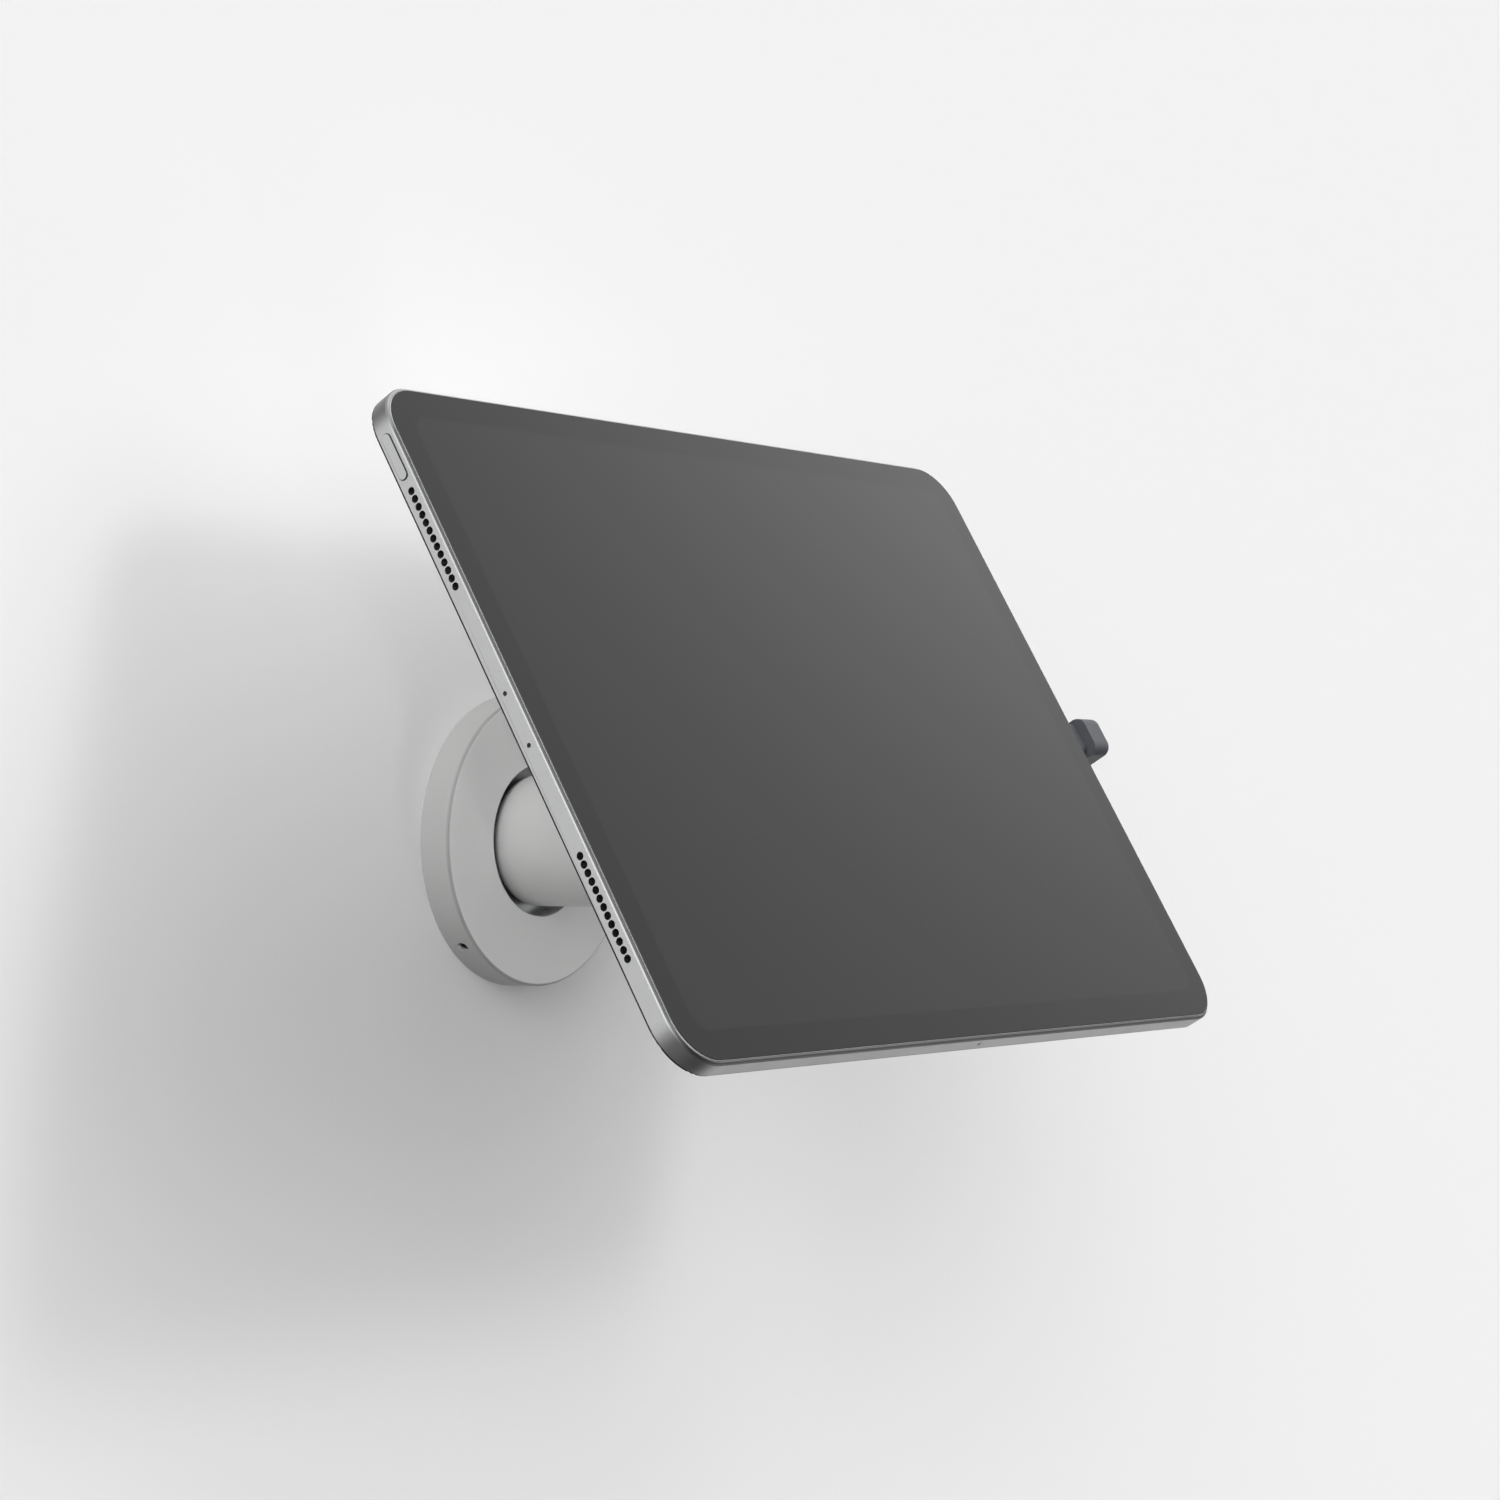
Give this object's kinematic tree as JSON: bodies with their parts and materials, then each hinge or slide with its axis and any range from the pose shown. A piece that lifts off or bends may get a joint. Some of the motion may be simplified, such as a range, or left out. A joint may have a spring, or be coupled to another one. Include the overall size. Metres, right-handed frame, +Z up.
{
  "type": "tablet wall mount",
  "caption": "Swivel and tilt wall mount with a round base, a short round neck and an adhesive carrier plate that holds a tablet, which turns between landscape and portrait.",
  "frame": {"origin": "centre of the round base, on the wall", "axes": "+X right along the wall, +Y into the wall along the neck's axis, +Z up"},
  "size_m": [0.2601, 0.1467, 0.1569],
  "materials": {
    "steel": "zinc plated steel",
    "dark_steel": "black oxide steel",
    "mount_coat": "turned aluminium with a fine pale satin coat",
    "nylon": "white friction plastic",
    "black_plastic": "fine matte black plastic",
    "pad_foam": "black adhesive foam",
    "tablet_aluminium": "bead blasted anodised aluminium",
    "screen_glass": "black backed cover glass, gloss",
    "display": "dark display stack",
    "battery": "black battery foil",
    "board": "green lacquered circuit board",
    "mesh_black": "black acoustic mesh",
    "lens_glass": "dark lens glass, gloss",
    "flash_lens": "pale moulded lens",
    "plug_grey": "dark grey moulded plastic, satin",
    "lead_rubber": "dark grey soft jacket"
  },
  "bodies": {
    "wall_base": {"wall_plate": "steel", "base_cover": "mount_coat", "base_set_screw": "dark_steel", "swivel_washer": "nylon"},
    "neck": {"neck": "mount_coat", "swivel_retainer": "steel", "retainer_screws": "steel", "pivot_bolt": "dark_steel", "pivot_nut": "steel", "spring_washers": "steel", "friction_washers": "nylon", "pivot_caps": "black_plastic", "tilt_stop_pin": "steel"},
    "head": {"head": "mount_coat", "turn_stop_pin": "steel", "slip_washer": "nylon", "turn_ring": "steel", "turn_screws": "steel"},
    "carrier": {"carrier_plate": "mount_coat", "adhesive_pad": "pad_foam", "tablet_housing": "tablet_aluminium", "display_glass": "screen_glass", "display_panel": "display", "battery_cells": "battery", "main_board": "board", "speaker_meshes": "mesh_black", "button_switches": "black_plastic", "rear_camera_ring": "tablet_aluminium", "rear_camera_glass": "lens_glass", "flash_lens": "flash_lens", "charge_port": "steel", "plug_shell": "steel", "plug_body": "plug_grey", "strain_relief": "lead_rubber", "power_lead": "lead_rubber", "lead_gland": "black_plastic"},
    "power_key": {"power_button": "tablet_aluminium"},
    "volume_up_key": {"volume_up_button": "tablet_aluminium"},
    "volume_down_key": {"volume_down_button": "tablet_aluminium"}
  },
  "joints": [
    {"name": "swivel", "type": "hinge", "parent": "wall_base", "child": "neck", "pos_m": [0, -0.0049, 0], "axis": [0, 1, 0], "range_deg": [-90, 90]},
    {"name": "tilt", "type": "hinge", "parent": "neck", "child": "head", "pos_m": [0, -0.053, 0], "axis": [-1, 0, 0], "range_deg": [-30, 10]},
    {"name": "turn", "type": "hinge", "parent": "head", "child": "carrier", "pos_m": [0, -0.09145, 0.0222], "axis": [0, 0.866, -0.5], "range_deg": [0, 90]},
    {"name": "power_press", "type": "slide", "parent": "carrier", "child": "power_key", "axis": [1, 0, 0], "range_m": [0, 0.00025], "stiffness_N_per_m": 3000, "springref_m": -0.0004},
    {"name": "volume_up_press", "type": "slide", "parent": "carrier", "child": "volume_up_key", "axis": [0, -0.5, -0.866], "range_m": [0, 0.00025], "stiffness_N_per_m": 3000, "springref_m": -0.0004},
    {"name": "volume_down_press", "type": "slide", "parent": "carrier", "child": "volume_down_key", "axis": [0, -0.5, -0.866], "range_m": [0, 0.00025], "stiffness_N_per_m": 3000, "springref_m": -0.0004}
  ]
}
